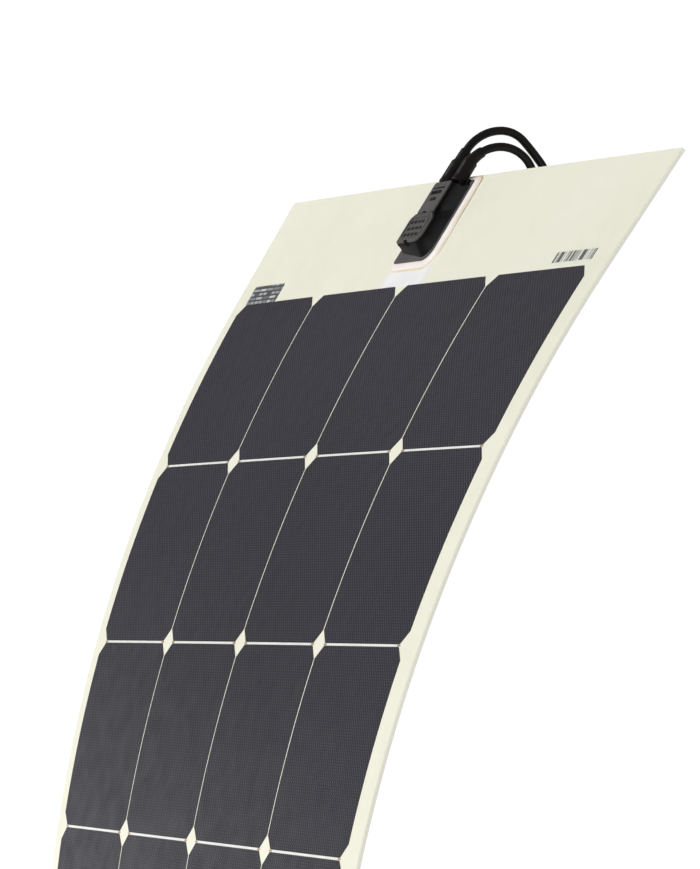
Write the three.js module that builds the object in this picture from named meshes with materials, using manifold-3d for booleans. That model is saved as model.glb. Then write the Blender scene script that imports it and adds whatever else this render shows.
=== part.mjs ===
// A flexible solar sheet, held by its header so that the sheet hangs from it in a gentle bend.
// Millimetres, +Z up. X is the line that the sheet bends about, and the cells face -Y.
// The origin is on the back of the header, halfway along and halfway up it.

import * as THREE from 'three';
import { mergeVertices } from 'three/addons/utils/BufferGeometryUtils.js';
import Module from 'manifold-3d';

const wasm = await Module();
wasm.setup();

// ---------------------------------------------------------------- driving sizes

const CELL = 126.2;               // side of a pseudo-square cell
const CELL_CORNER = 8.3;          // leg of the cell's cut corner
const CELL_GAP = 1.6;             // between cells, both ways
const COLUMNS = 4;
const ROWS = 8;
const ROWS_PER_SEGMENT = 2;
const SIDE_LEFT = 12.4;           // clear laminate beside the first column
const SIDE_RIGHT = 18.4;          // and beside the last
const HEADER = 87;                // straight laminate above the start of the bend
const FIRST_ROW = -0.6;           // top of the first cells, just above that start
const FOOTER = 15.4;              // plain laminate below the last row

const BEND_RADIUS = 962;          // of the sheet as it hangs
const LEAN = 53.2;                // degrees the header slopes below level, face up
const SKEW = 8.6;                 // degrees between the bend line and the rows of cells

const BACK_THICK = 1.1;           // glass-fibre back board
const CELL_THICK = 0.5;
const FILM_THICK = 0.4;
const CLEAR = 0.35;               // between two laminated layers
const SLIT = 0.8;                 // between two segments, on their hinge

const TOUCH = 0.3;                // gap that two touching pieces keep
const CABLE = 5.6;                // outer diameter of a solar lead
const CABLE_SIDES = 8;

const BOX = { width: 48, height: 63.5, u: -7.5, v: -50, flange: 1.2 };
const BOX_CORNERS = [3, 3, 3, 8]; // radii: top right, top left, bottom left, bottom right
const BODY_TOP = 9.3;             // top of the box's walls, above the film
const BODY_FOOT = 22.6;           // half the width of the flared body where it meets the flange
const WALL = 1.6;
const LID = 1.1;
const LID_INSET = 0.6;            // between a lid's edge and the edge of the body below it
const BODY_X = -2.2;              // of the body's middle, from the flange's
const NECK = { half: 12.2, top: 27, round: 1 };
const HEAD = { half: 16.8, top: 1.5, bottom: -22, foot: -19.5, shoulder: 4, round: 6 };
const BEAD = { left: 2.2, right: 6.5, below: 5, above: 4, back: 0.9, thick: 0.5, round: 12 };
const DIODE = { y: -9, half: 5, radius: 2.2 };

const BOOT_RADIUS = { wide: 4.9, narrow: 3.8 };
const LEAD_MIDDLE = 1.5;          // between the two leads, from the flange's middle
const LEAD_HALF_SPACING = 8.8;
const LEAD_HEIGHT = 6.3;          // of a lead's line above the film, where it leaves the box
const LEAD_STRAIGHT = 4;          // past its boot, before it bends

const COIL_RADIUS = 31;           // at the middle of a turn
const COIL_TURNS = 3;
const COIL_PITCH = 6;
const COIL_SPARE = 0.6;           // between the turns and the edge of the ring that they fill
const TAIL_TURN = 25;             // degrees past a whole turn where the end leaves the coil

// What lies flat in or on the laminate: [left, right] across it and [top, bottom] down it.
const RIBBON = { u: [-167.8, 167.8], v: [-9, -4] };
const NAME_LABEL = { u: [-251, -202], v: [-15.5, -1.8], thick: 0.3 };
const BAR_LABEL = { u: [197, 247], v: [-14, -2.5], thick: 0.3 };
const COVER_TAPE = { u: [-34, 24], v: [-24, -1.8], thick: 0.2 };

// ---------------------------------------------------------------- what follows from them

const PITCH = CELL + CELL_GAP;
const BLOCK_WIDTH = COLUMNS * PITCH - CELL_GAP;
const LENGTH_DOWN = FIRST_ROW + ROWS * PITCH - CELL_GAP + FOOTER;
const WIDTH = SIDE_LEFT + BLOCK_WIDTH + SIDE_RIGHT;
const CELLS_LEFT = SIDE_LEFT - WIDTH / 2;
const SEGMENTS = ROWS / ROWS_PER_SEGMENT;

const FILM_BACK = -FILM_THICK;
const CELL_FRONT = FILM_BACK - CLEAR;
const CELL_BACK = CELL_FRONT - CELL_THICK;
const BACK_FRONT = CELL_BACK - CLEAR;
const SHEET_BACK = BACK_FRONT - BACK_THICK;

const lean = THREE.MathUtils.degToRad(LEAN);
const skew = THREE.MathUtils.degToRad(-SKEW);

// The sheet is rolled about X. u runs across it from its middle line, v runs down it from the
// start of the bend, and w is the height above the front film. Above v = 0 it is straight.
function sheetPoint(u, v, w) {
  const bent = Math.max(v, 0);
  const straight = Math.min(v, 0);
  const along = bent * Math.cos(skew) + u * Math.sin(skew);
  const across = u * Math.cos(skew) - bent * Math.sin(skew);
  const slope = lean + along / BEND_RADIUS;
  const point = new THREE.Vector3(
    across,
    -BEND_RADIUS * (Math.sin(slope) - Math.sin(lean)),
    BEND_RADIUS * (Math.cos(slope) - Math.cos(lean)),
  );
  const down = new THREE.Vector3(
    -Math.sin(skew),
    -Math.cos(skew) * Math.cos(slope),
    -Math.cos(skew) * Math.sin(slope),
  );
  const out = new THREE.Vector3(0, -Math.sin(slope), Math.cos(slope));
  return point.addScaledVector(down, straight).addScaledVector(out, w);
}

const ORIGIN = sheetPoint(0, -HEADER / 2, SHEET_BACK);
const onSheet = (u, v, w) => sheetPoint(u, v, w).sub(ORIGIN);

// ---------------------------------------------------------------- materials

const paint = (color, roughness, metalness = 0) =>
  new THREE.MeshStandardMaterial({ color, roughness, metalness });

const BACK_BOARD = paint(0xeeeede, 0.6);
const SILICON = paint(0x3c3c46, 0.35);
const FILM = new THREE.MeshStandardMaterial({
  color: 0xf4f5e6, roughness: 0.25, transparent: true, opacity: 0.3,
});
const TAPE = paint(0xf2f2f2, 0.5);
const SEALANT = paint(0xf6ece8, 0.45);
const BLACK_PLASTIC = paint(0x2a2827, 0.55);
const LID_PLASTIC = paint(0x454240, 0.6);
const BLACK_RUBBER = paint(0x171615, 0.45);
const COPPER = paint(0xc9b8a0, 0.35, 0.9);
const EPOXY = paint(0x1d1d1f, 0.4);
const LABEL_DARK = paint(0x2c3138, 0.5);
const LABEL_PALE = paint(0xe6e8dc, 0.5);

const part = new THREE.Group();

function addMesh(name, geometry, material, parent = part) {
  const mesh = new THREE.Mesh(geometry, material);
  mesh.name = name;
  parent.add(mesh);
  return mesh;
}

// ---------------------------------------------------------------- layers of the laminate

const steps = (from, to, count) =>
  Array.from({ length: count + 1 }, (_, i) => from + (to - from) * i / count);

// A closed slab of the bent sheet. Each row of the grid is { v, us }, with the same number of us.
function slab(rows, back, front) {
  const across = rows[0].us.length;
  const positions = [];
  for (const w of [back, front]) {
    for (const { v, us } of rows) {
      for (const u of us) positions.push(...onSheet(u, v, w));
    }
  }
  const layer = rows.length * across;
  const at = (row, column, side) => side * layer + row * across + column;
  const index = [];
  const quad = (a, b, c, d) => index.push(a, b, c, a, c, d);
  const last = rows.length - 1;
  const end = across - 1;
  for (let r = 0; r < last; r++) {
    for (let c = 0; c < end; c++) {
      quad(at(r, c, 1), at(r + 1, c, 1), at(r + 1, c + 1, 1), at(r, c + 1, 1));
      quad(at(r, c, 0), at(r, c + 1, 0), at(r + 1, c + 1, 0), at(r + 1, c, 0));
    }
    quad(at(r, 0, 0), at(r + 1, 0, 0), at(r + 1, 0, 1), at(r, 0, 1));
    quad(at(r, end, 1), at(r + 1, end, 1), at(r + 1, end, 0), at(r, end, 0));
  }
  for (let c = 0; c < end; c++) {
    quad(at(0, c, 1), at(0, c + 1, 1), at(0, c + 1, 0), at(0, c, 0));
    quad(at(last, c, 0), at(last, c + 1, 0), at(last, c + 1, 1), at(last, c, 1));
  }
  const geometry = new THREE.BufferGeometry();
  geometry.setAttribute('position', new THREE.Float32BufferAttribute(positions, 3));
  geometry.setIndex(index);
  return geometry;
}

const strip = (u0, u1, columns, vs) => vs.map((v) => ({ v, us: steps(u0, u1, columns) }));

// Facets that follow the bend.
const HEADER_STEPS = 2;
const SEGMENT_STEPS = 9;
const SHEET_COLUMNS = 8;
const CELL_STEPS = 4;

function cellGeometry(row, column) {
  const u0 = CELLS_LEFT + column * PITCH;
  const v0 = FIRST_ROW + row * PITCH;
  const vs = [
    ...steps(0, CELL, CELL_STEPS),
    CELL_CORNER,
    CELL - CELL_CORNER,
  ].sort((a, b) => a - b);
  const rows = vs.map((v) => {
    const cut = Math.max(0, CELL_CORNER - v, CELL_CORNER - (CELL - v));
    return { v: v0 + v, us: steps(u0 + cut, u0 + CELL - cut, 2) };
  });
  return slab(rows, CELL_BACK, CELL_FRONT);
}

function addSegment(number, from, to, rowSteps) {
  const grid = strip(-WIDTH / 2, WIDTH / 2, SHEET_COLUMNS, steps(from, to, rowSteps));
  addMesh(`back_board_${number}`, slab(grid, SHEET_BACK, BACK_FRONT), BACK_BOARD);
  addMesh(`front_film_${number}`, slab(grid, FILM_BACK, 0), FILM);
}

function addLaminate() {
  const hinge = (rowsAbove) => FIRST_ROW + rowsAbove * PITCH - CELL_GAP / 2;
  addSegment('header', -HEADER, hinge(0) - SLIT / 2, HEADER_STEPS);
  for (let s = 0; s < SEGMENTS; s++) {
    const top = hinge(s * ROWS_PER_SEGMENT) + SLIT / 2;
    const next = hinge((s + 1) * ROWS_PER_SEGMENT) - SLIT / 2;
    const bottom = s === SEGMENTS - 1 ? LENGTH_DOWN : next;
    addSegment(`${s + 1}`, top, bottom, SEGMENT_STEPS);
  }
  for (let row = 0; row < ROWS; row++) {
    for (let column = 0; column < COLUMNS; column++) {
      addMesh(`cell_r${row + 1}c${column + 1}`, cellGeometry(row, column), SILICON);
    }
  }
}

// Tinned copper ribbon across the header that joins the strings of cells.
function addBusRibbon() {
  const grid = strip(...RIBBON.u, 6, RIBBON.v);
  addMesh('bus_ribbon', slab(grid, CELL_BACK, CELL_FRONT), COPPER);
}

// ---------------------------------------------------------------- labels and tape on the film

function addLabels() {
  const onFilm = ({ u, v, thick }) => slab(strip(...u, 2, v), TOUCH, TOUCH + thick);
  addMesh('name_label', onFilm(NAME_LABEL), LABEL_DARK);
  addMesh('bar_label', onFilm(BAR_LABEL), LABEL_PALE);
  addMesh('bus_cover_tape', onFilm(COVER_TAPE), TAPE);
}

// ---------------------------------------------------------------- junction box

function roundedRect(x0, y0, x1, y1, radii) {
  const [topRight, topLeft, bottomLeft, bottomRight] = radii;
  const shape = new THREE.Shape();
  shape.absarc(x1 - topRight, y1 - topRight, topRight, 0, Math.PI / 2);
  shape.absarc(x0 + topLeft, y1 - topLeft, topLeft, Math.PI / 2, Math.PI);
  shape.absarc(x0 + bottomLeft, y0 + bottomLeft, bottomLeft, Math.PI, Math.PI * 1.5);
  shape.absarc(x1 - bottomRight, y0 + bottomRight, bottomRight, Math.PI * 1.5, Math.PI * 2);
  return shape;
}

function plate(shape, z0, z1) {
  const geometry = new THREE.ExtrudeGeometry(shape, {
    depth: z1 - z0, bevelEnabled: false, curveSegments: 4,
  });
  return geometry.translate(0, 0, z0);
}

function toSolid(geometry) {
  const bare = geometry.clone();
  bare.deleteAttribute('normal');
  bare.deleteAttribute('uv');
  const merged = mergeVertices(bare, 1e-4);
  const mesh = new wasm.Mesh({
    numProp: 3,
    vertProperties: new Float32Array(merged.attributes.position.array),
    triVerts: new Uint32Array(merged.index.array),
  });
  return new wasm.Manifold(mesh);
}

function toGeometry(solid) {
  const mesh = solid.getMesh();
  const geometry = new THREE.BufferGeometry();
  geometry.setAttribute('position', new THREE.BufferAttribute(mesh.vertProperties, 3));
  geometry.setIndex(new THREE.BufferAttribute(mesh.triVerts, 1));
  return geometry;
}

const SEAL_FRONT = BEAD.back + BEAD.thick;
const FLANGE_BACK = SEAL_FRONT + TOUCH;
const FLANGE_FRONT = FLANGE_BACK + BOX.flange;
const LID_BACK = BODY_TOP + TOUCH;
const BOOT_START = NECK.top + TOUCH;
const OUTER_X = LEAD_MIDDLE - LEAD_HALF_SPACING;
const INNER_X = LEAD_MIDDLE + LEAD_HALF_SPACING;

const square = (round) => [round, round, round, round];
const neckShape = (inset, bottom) => roundedRect(
  BODY_X - NECK.half + inset, bottom, BODY_X + NECK.half - inset, NECK.top - inset,
  square(NECK.round));
const headShape = (inset) => roundedRect(
  BODY_X - HEAD.half + inset, HEAD.bottom + inset, BODY_X + HEAD.half - inset, HEAD.top - inset,
  [HEAD.shoulder, HEAD.shoulder, HEAD.round, HEAD.round]);

const NECK_OVERLAP = 4;           // of the neck's shape into the head's
const THIN = 0.3;                 // plates that a flared wall is stretched between

// A body whose walls lean out from its top outline to a wider foot on the flange.
function flared(topShape, footShape) {
  const top = toSolid(plate(topShape, BODY_TOP - THIN, BODY_TOP));
  const foot = toSolid(plate(footShape, FLANGE_FRONT - THIN, FLANGE_FRONT + THIN));
  return wasm.Manifold.hull([top, foot]);
}

// A turned piece along local +Y, from a profile of [radius, distance] points.
function turned(profile, sides = 12) {
  const points = profile.map(([r, y]) => new THREE.Vector2(r, y));
  return new THREE.LatheGeometry(points, sides);
}

const rod = (radius, from, to, sides) =>
  turned([[0, from], [radius, from], [radius, to], [0, to]], sides);

function boxBaseGeometry() {
  const half = { x: BOX.width / 2, y: BOX.height / 2 };
  const flange = plate(roundedRect(-half.x, -half.y, half.x, half.y, BOX_CORNERS),
    FLANGE_BACK, FLANGE_FRONT);
  const neckBottom = HEAD.top - NECK_OVERLAP;
  const neckFoot = roundedRect(-BODY_FOOT, neckBottom, BODY_FOOT, NECK.top, square(NECK.round));
  const headFoot = roundedRect(-BODY_FOOT, HEAD.foot, BODY_FOOT, HEAD.top, square(HEAD.round));
  const outer = flared(headShape(0), headFoot).add(flared(neckShape(0, neckBottom), neckFoot));
  const inner = toSolid(plate(headShape(WALL), FLANGE_FRONT, BODY_TOP + 1))
    .add(toSolid(plate(neckShape(WALL, neckBottom), FLANGE_FRONT, BODY_TOP + 1)));
  let base = toSolid(flange).add(outer).subtract(inner);
  for (const x of [OUTER_X, INNER_X]) {
    const cradle = rod(BOOT_RADIUS.wide + TOUCH, NECK.top, half.y + 1, 16);
    base = base.subtract(toSolid(cradle.translate(x, 0, LEAD_HEIGHT)));
  }
  return toGeometry(base);
}

function bootGeometry(wide, narrow) {
  const r = BOOT_RADIUS;
  return turned([[0, 0], [r.wide, 0], [r.wide, wide], [r.narrow, wide],
    [r.narrow, wide + narrow], [0, wide + narrow]]);
}

// The box's own frame: x across the sheet, y up it and z out of its front.
function headerFrame(u, v) {
  const here = onSheet(u, v, 0);
  const up = onSheet(u, v - 1, 0).sub(here).normalize();
  const out = onSheet(u, v, 1).sub(here).normalize();
  const across = new THREE.Vector3().crossVectors(up, out).normalize();
  const frame = new THREE.Group();
  frame.position.copy(here);
  frame.quaternion.setFromRotationMatrix(new THREE.Matrix4().makeBasis(across, up, out));
  part.add(frame);
  return frame;
}

const boxFrame = headerFrame(BOX.u, BOX.v);
boxFrame.updateMatrixWorld(true);

const BOOTS = {
  outer: { x: OUTER_X, wide: 17, narrow: 7.2 },
  inner: { x: INNER_X, wide: 8, narrow: 2.5 },
};

function addJunctionBox() {
  const half = { x: BOX.width / 2, y: BOX.height / 2 };
  const bead = roundedRect(-half.x - BEAD.left, -half.y - BEAD.below, half.x + BEAD.right,
    half.y + BEAD.above, [4, 4, 4, BEAD.round]);
  addMesh('box_sealant', plate(bead, BEAD.back, SEAL_FRONT), SEALANT, boxFrame);
  addMesh('box_base', boxBaseGeometry(), BLACK_PLASTIC, boxFrame);

  const headLid = plate(headShape(LID_INSET), LID_BACK, LID_BACK + LID);
  addMesh('diode_cover', headLid, LID_PLASTIC, boxFrame);
  const neckLid = plate(neckShape(LID_INSET, HEAD.top - LID_INSET + TOUCH), LID_BACK,
    LID_BACK + LID);
  addMesh('terminal_cover', neckLid, LID_PLASTIC, boxFrame);

  const diode = rod(DIODE.radius, -DIODE.half, DIODE.half, 10).rotateZ(Math.PI / 2);
  diode.translate(BODY_X, DIODE.y, FLANGE_FRONT + DIODE.radius + TOUCH);
  addMesh('bypass_diode', diode, EPOXY, boxFrame);

  for (const [name, { x, wide, narrow }] of Object.entries(BOOTS)) {
    const boot = bootGeometry(wide, narrow);
    boot.translate(x, BOOT_START, LEAD_HEIGHT);
    addMesh(`boot_${name}`, boot, BLACK_RUBBER, boxFrame);
  }
}

// ---------------------------------------------------------------- leads

// A point on a lead's line, so far past its boot's tip.
function pastBoot({ x, wide, narrow }, distance) {
  const y = BOOT_START + wide + narrow + TOUCH + distance;
  return new THREE.Vector3(x, y, LEAD_HEIGHT).applyMatrix4(boxFrame.matrixWorld);
}

const ARCH_STEPS = 5;
const LEAD_STEPS = 32;
const COIL_SIDES = 28;

// Both leads rise with the header, arch over its top edge and drop behind it into a coil. An arch
// is three bends: rise up to its crown, fall to the slope of a straight run, then drop to plumb.
const LEADS = {
  outer: { rise: 29, fall: 22.4, slope: 50, run: 16, drop: 25, coilHeight: 22, towards: -1 },
  inner: { rise: 27, fall: 24, slope: 60, run: 0, drop: 24, coilHeight: 20, towards: 1 },
};

function bend(points, radius, from, to) {
  const start = points[points.length - 1];
  for (let i = 1; i <= ARCH_STEPS; i++) {
    const turn = from + (to - from) * i / ARCH_STEPS;
    points.push(new THREE.Vector3(
      start.x,
      start.y + radius * (Math.sin(turn) - Math.sin(from)),
      start.z + radius * (Math.cos(turn) - Math.cos(from)),
    ));
  }
}

function leadRoute(name) {
  const { rise, fall, slope, run, drop, coilHeight, towards } = LEADS[name];
  const away = THREE.MathUtils.degToRad(slope);
  const points = [pastBoot(BOOTS[name], 0), pastBoot(BOOTS[name], LEAD_STRAIGHT)];
  bend(points, rise, -lean, 0);
  bend(points, fall, 0, away);
  if (run > 0) {
    const end = points[points.length - 1];
    points.push(end.clone().add(
      new THREE.Vector3(0, run * Math.cos(away), -run * Math.sin(away))));
  }
  bend(points, drop, away, Math.PI / 2);
  const plumb = points[points.length - 1];
  const coil = new THREE.Vector3(plumb.x, plumb.y - COIL_RADIUS, coilHeight - ORIGIN.z);
  return { points, coil, towards };
}

function tubeGeometry(points, radius, stepCount) {
  const section = new THREE.Shape();
  for (let i = 0; i < CABLE_SIDES; i++) {
    const angle = 2 * Math.PI * i / CABLE_SIDES;
    const x = radius * Math.cos(angle);
    const y = radius * Math.sin(angle);
    if (i === 0) section.moveTo(x, y);
    else section.lineTo(x, y);
  }
  section.closePath();
  const line = new THREE.CatmullRomCurve3(points, false, 'centripetal');
  return new THREE.ExtrudeGeometry(section, { steps: stepCount, extrudePath: line });
}

function coilGeometry() {
  const beside = CABLE / 2 + COIL_SPARE;
  const half = COIL_TURNS * COIL_PITCH / 2 + beside;
  const inner = COIL_RADIUS - beside;
  const outer = COIL_RADIUS + beside;
  const ring = turned([[inner, -half], [outer, -half], [outer, half], [inner, half],
    [inner, -half]], COIL_SIDES);
  return { ring: ring.rotateZ(Math.PI / 2), outer };
}

// A push-and-lock connector along local +Y: lead, nut, body and nose.
const CONNECTORS = {
  outer: [[0, 0], [3.2, 0], [3.2, 6], [7.2, 6], [8.2, 9], [8.2, 22], [6.8, 22], [6.8, 47],
    [5.2, 47], [5.2, 62], [0, 62]],
  inner: [[0, 0], [3.2, 0], [3.2, 6], [7.2, 6], [8.2, 9], [8.2, 22], [6.8, 22], [6.8, 40],
    [7.6, 42], [7.6, 58], [0, 58]],
};

function addLead(name) {
  const { points, coil, towards } = leadRoute(name);
  const { ring, outer } = coilGeometry();

  // The lead and the connector's tail stop where they meet the ring, just clear of it.
  const line = COIL_RADIUS - CABLE / 2;
  const clear = Math.sqrt((outer + COIL_SPARE) ** 2 - line ** 2);
  const last = points[points.length - 1];
  points.push(new THREE.Vector3(last.x, last.y, coil.z + clear));
  addMesh(`lead_${name}`, tubeGeometry(points, CABLE / 2, LEAD_STEPS), BLACK_RUBBER);

  ring.translate(coil.x + towards * COIL_TURNS * COIL_PITCH / 2, coil.y, coil.z);
  addMesh(`lead_coil_${name}`, ring, BLACK_RUBBER);

  const turn = THREE.MathUtils.degToRad(TAIL_TURN);
  const heading = new THREE.Vector3(0, -Math.sin(turn), -Math.cos(turn));
  const leave = new THREE.Vector3(
    coil.x + towards * COIL_TURNS * COIL_PITCH,
    coil.y + COIL_RADIUS * Math.cos(turn),
    coil.z - COIL_RADIUS * Math.sin(turn),
  );
  const connector = addMesh(`connector_${name}`, turned(CONNECTORS[name]), BLACK_PLASTIC);
  connector.position.copy(leave.addScaledVector(heading, clear + TOUCH));
  connector.quaternion.setFromUnitVectors(new THREE.Vector3(0, 1, 0), heading);
}

addLaminate();
addBusRibbon();
addLabels();
addJunctionBox();
addLead('outer');
addLead('inner');

export default part;
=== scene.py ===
import math

import bmesh
import bpy
from mathutils import Matrix, Vector


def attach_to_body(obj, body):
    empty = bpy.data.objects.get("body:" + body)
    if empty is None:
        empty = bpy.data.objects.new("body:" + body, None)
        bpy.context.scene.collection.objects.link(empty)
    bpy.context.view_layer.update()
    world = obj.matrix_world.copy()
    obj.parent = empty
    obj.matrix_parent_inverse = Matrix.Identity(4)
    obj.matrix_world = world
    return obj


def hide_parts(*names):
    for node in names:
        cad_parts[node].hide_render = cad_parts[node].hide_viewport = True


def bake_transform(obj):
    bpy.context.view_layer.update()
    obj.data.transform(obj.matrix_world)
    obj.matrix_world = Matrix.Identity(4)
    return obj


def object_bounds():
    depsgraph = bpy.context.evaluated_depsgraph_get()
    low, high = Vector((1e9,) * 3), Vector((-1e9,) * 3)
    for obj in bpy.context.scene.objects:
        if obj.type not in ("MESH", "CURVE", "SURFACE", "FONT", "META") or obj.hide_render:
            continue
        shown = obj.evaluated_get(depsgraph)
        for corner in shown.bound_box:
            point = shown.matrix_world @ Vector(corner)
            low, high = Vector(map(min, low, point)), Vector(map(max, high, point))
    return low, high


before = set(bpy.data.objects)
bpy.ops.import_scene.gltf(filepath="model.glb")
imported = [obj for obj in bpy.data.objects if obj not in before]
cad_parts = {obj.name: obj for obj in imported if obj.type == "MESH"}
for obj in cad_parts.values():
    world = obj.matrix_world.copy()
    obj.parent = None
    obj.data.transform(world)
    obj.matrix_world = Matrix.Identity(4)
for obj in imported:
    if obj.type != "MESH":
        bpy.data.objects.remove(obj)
cad_low, cad_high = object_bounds()

# ---------------------------------------------------------------- sizes, as in the CAD

MM = 0.001

# The laminate's, in metres.
CELL = 126.2 * MM
CELL_CORNER = 8.3 * MM
CELL_GAP = 1.6 * MM
COLUMNS = 4
ROWS = 8
SIDE_LEFT = 12.4 * MM
SIDE_RIGHT = 18.4 * MM
HEADER = 87 * MM
FIRST_ROW = -0.6 * MM
FOOTER = 15.4 * MM
BEND_RADIUS = 962 * MM
LEAN = math.radians(53.2)
SKEW = math.radians(-8.6)
THICK = 2.7 * MM

PITCH = CELL + CELL_GAP
WIDTH = SIDE_LEFT + COLUMNS * PITCH - CELL_GAP + SIDE_RIGHT
CELLS_LEFT = SIDE_LEFT - WIDTH / 2
BOTTOM = FIRST_ROW + ROWS * PITCH - CELL_GAP + FOOTER

BOX_U, BOX_V = -7.5 * MM, -50 * MM

# The leads', in millimetres: where they leave the box, then what they are on their way. The
# boots' lengths are those of the CAD's plain boots.
LEAD_X = {"outer": -7.3, "inner": 10.3}
LEAD_HEIGHT = 6.3
BOOT_START = 27.3
BOOT_LENGTH = {"outer": 24.2, "inner": 10.5}
TOUCH = 0.3
LEAD_STRAIGHT = 4.0
# Radii of the bend up to the crown and of the one down from it, the slope and length of the
# straight run after them, and the radius of the last bend, to plumb.
ARCH = {"outer": (29.0, 22.4, 50, 16.0, 25.0), "inner": (27.0, 24.0, 60, 0.0, 24.0)}
COIL_HEIGHT = {"outer": 22.0, "inner": 20.0}
TOWARDS = {"outer": -1, "inner": 1}
CABLE = 5.6
COIL_RADIUS = 31.0
COIL_TURNS = 3
COIL_PITCH = 6.0
TAIL_TURN = math.radians(25)
TAIL_KNOT = 12
CONNECTOR_GAP = 21.03
INTO_NUT = 9


def sheet_point(u, v, w):
    """A point of the rolled sheet: u across it, v down it from the top of the cells, w out of it."""
    bent, straight = max(v, 0), min(v, 0)
    along = bent * math.cos(SKEW) + u * math.sin(SKEW)
    across = u * math.cos(SKEW) - bent * math.sin(SKEW)
    slope = LEAN + along / BEND_RADIUS
    point = Vector((
        across,
        -BEND_RADIUS * (math.sin(slope) - math.sin(LEAN)),
        BEND_RADIUS * (math.cos(slope) - math.cos(LEAN)),
    ))
    down = Vector((
        -math.sin(SKEW),
        -math.cos(SKEW) * math.cos(slope),
        -math.cos(SKEW) * math.sin(slope),
    ))
    out = Vector((0, -math.sin(slope), math.cos(slope)))
    return point + down * straight + out * w


ORIGIN = sheet_point(0, -HEADER / 2, -THICK)


def on_sheet(u, v, w=0.0):
    return sheet_point(u, v, w) - ORIGIN


def header_frame(u, v):
    """Local millimetres on the header: x across it, y up it, z out of its front."""
    here = on_sheet(u, v)
    up = (on_sheet(u, v - MM) - here).normalized()
    out = (on_sheet(u, v, MM) - here).normalized()
    across = up.cross(out)
    turn = Matrix((across, up, out)).transposed().to_4x4()
    return Matrix.Translation(here) @ turn @ Matrix.Scale(MM, 4)


BOX = header_frame(BOX_U, BOX_V)

# ---------------------------------------------------------------- camera

CAMERA_PLACE = (2.6149, -1.0244, 0.1792)
CAMERA_AIM = (-0.9328, 0.3434, -0.1094)
CAMERA_LENS = 180.95
CAMERA_SENSOR = 36
CAMERA_NEAR, CAMERA_FAR = 0.05, 200

camera = bpy.data.objects.new("camera", bpy.data.cameras.new("camera"))
bpy.context.scene.collection.objects.link(camera)
camera.location = CAMERA_PLACE
camera.rotation_euler = Vector(CAMERA_AIM).to_track_quat("-Z", "Y").to_euler()
camera.data.lens = CAMERA_LENS
camera.data.sensor_width = CAMERA_SENSOR
camera.data.clip_start = CAMERA_NEAR
camera.data.clip_end = CAMERA_FAR
bpy.context.scene.camera = camera

# ---------------------------------------------------------------- materials


class Shader:
    """A Principled material under construction."""

    def __init__(self, name, colour, roughness, **sockets):
        self.material = bpy.data.materials.new(name)
        self.material.use_nodes = True
        self.tree = self.material.node_tree
        self.surface = self.tree.nodes["Principled BSDF"]
        self.surface.inputs["Base Color"].default_value = (*colour, 1)
        self.surface.inputs["Roughness"].default_value = roughness
        for socket, value in sockets.items():
            self.surface.inputs[socket.replace("_", " ")].default_value = value

    def node(self, kind, **settings):
        made = self.tree.nodes.new(kind)
        for key, value in settings.items():
            setattr(made, key, value)
        return made

    def link(self, source, target):
        self.tree.links.new(source, target)

    def math(self, operation, first, second=None):
        made = self.node("ShaderNodeMath", operation=operation)
        for i, value in enumerate((first, second)):
            if value is None:
                continue
            if isinstance(value, (int, float)):
                made.inputs[i].default_value = value
            else:
                self.link(value, made.inputs[i])
        return made.outputs[0]

    def sheet(self):
        """The two coordinates of the sheet, in metres, from the piece's UV map."""
        uv = self.node("ShaderNodeUVMap", uv_map="sheet")
        split = self.node("ShaderNodeSeparateXYZ")
        self.link(uv.outputs[0], split.inputs[0])
        return split.outputs[0], split.outputs[1]

    def noise(self, scale, detail=3.0):
        """Noise over the piece, scale features to the metre."""
        made = self.node("ShaderNodeTexNoise")
        made.inputs["Scale"].default_value = scale
        made.inputs["Detail"].default_value = detail
        place = self.node("ShaderNodeTexCoord").outputs["Object"]
        self.link(place, made.inputs["Vector"])
        return made.outputs[0]

    def ramp(self, value, *stops):
        """value turned into a colour or a grey by (position, colour) stops."""
        made = self.node("ShaderNodeValToRGB")
        elements = made.color_ramp.elements
        while len(elements) < len(stops):
            elements.new(1)
        for element, (position, colour) in zip(elements, stops):
            element.position = position
            grey = isinstance(colour, (int, float))
            element.color = (colour,) * 3 + (1,) if grey else (*colour, 1)
        self.link(value, made.inputs[0])
        return made.outputs[0]

    def colour(self, value):
        self.link(value, self.surface.inputs["Base Color"])

    def roughness(self, value, low, high):
        """Roughness from low to high over the middle of value's range."""
        self.link(self.ramp(value, (0.3, low), (0.7, high)), self.surface.inputs["Roughness"])

    def bump(self, value, depth, strength=1.0):
        made = self.node("ShaderNodeBump")
        made.inputs["Strength"].default_value = strength
        made.inputs["Distance"].default_value = depth
        self.link(value, made.inputs["Height"])
        self.link(made.outputs[0], self.surface.inputs["Normal"])


# Spacing of the embossed dimples across the sheet and down it. Between each two rows of them is
# a row shifted by half.
DIMPLE_U = 3.2 * MM
DIMPLE_V = 3.5 * MM
WEAVE = 3.2 * MM                  # spacing of the glass cloth's threads on the back
DASH_LENGTH = 7 * MM              # of the dark label's dashes
DASH_ROW = 3.4 * MM
DASH_MARGIN = 0.8 * MM
BAR_STEP = 0.75 * MM              # width of the pale label's narrowest bar or space
BAR_CUT = 0.42                    # share of those steps that are spaces
BAR_TOP, BAR_BOTTOM = -13.2 * MM, -5.2 * MM
LABEL_GRAIN = 900
LABEL_RELIEF = 0.02 * MM


def dimples(shader):
    """A height from -1 to 1 that rises at each dimple."""
    u, v = shader.sheet()
    wave_u = shader.math("COSINE", shader.math("MULTIPLY", u, math.tau / DIMPLE_U))
    wave_v = shader.math("COSINE", shader.math("MULTIPLY", v, math.tau / DIMPLE_V))
    return shader.math("MULTIPLY", wave_u, wave_v)


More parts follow.
